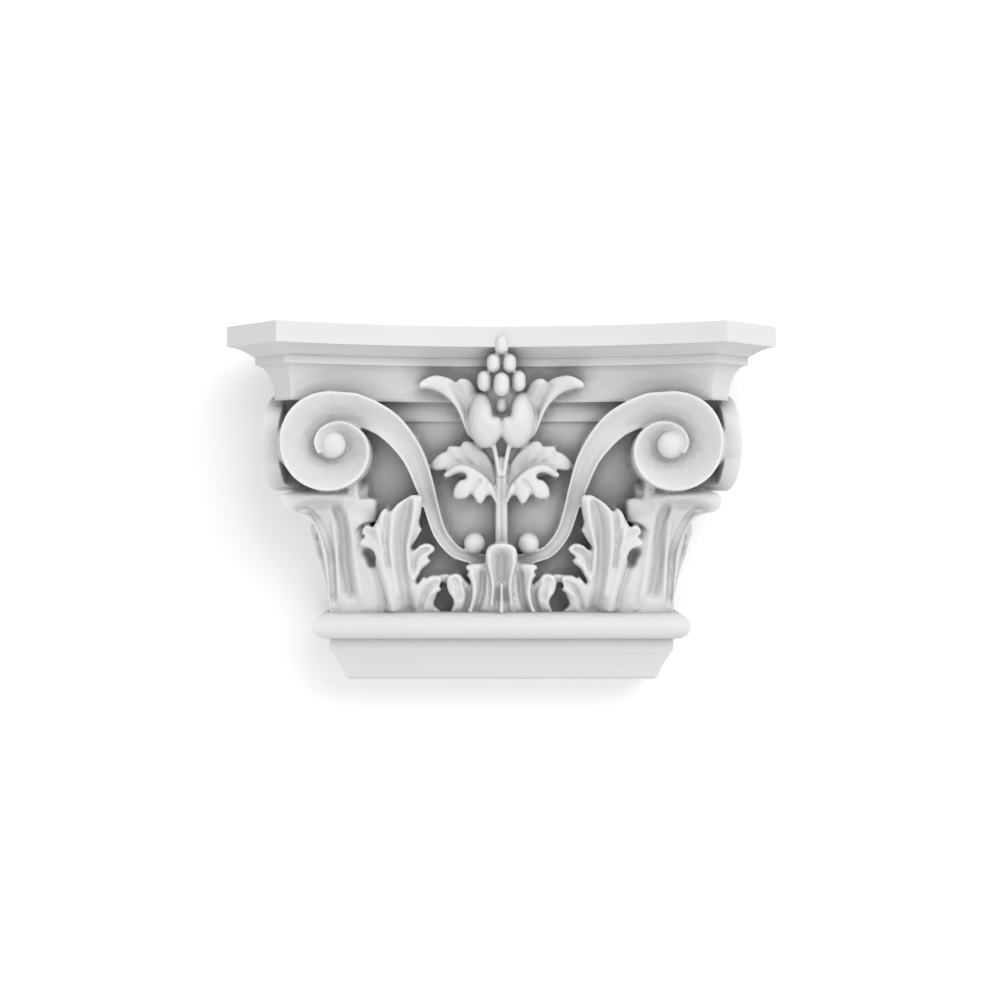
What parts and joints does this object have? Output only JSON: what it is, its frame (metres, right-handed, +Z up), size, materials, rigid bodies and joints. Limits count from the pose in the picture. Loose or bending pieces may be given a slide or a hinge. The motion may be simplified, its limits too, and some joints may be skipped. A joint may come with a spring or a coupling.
{
  "type": "pilaster capital",
  "caption": "White cast Corinthian pilaster capital with corner volutes, acanthus leaves and a flower, flat at the back for a wall.",
  "frame": {"origin": "middle of the flat wall face, at half the height", "axes": "+X across to the right as seen from the front, +Z up, +Y into the wall"},
  "size_m": [0.3426, 0.107, 0.224],
  "materials": {
    "cast_white": "matt white primed casting"
  },
  "bodies": {
    "root": {"pilaster_capital": "cast_white"}
  },
  "joints": []
}
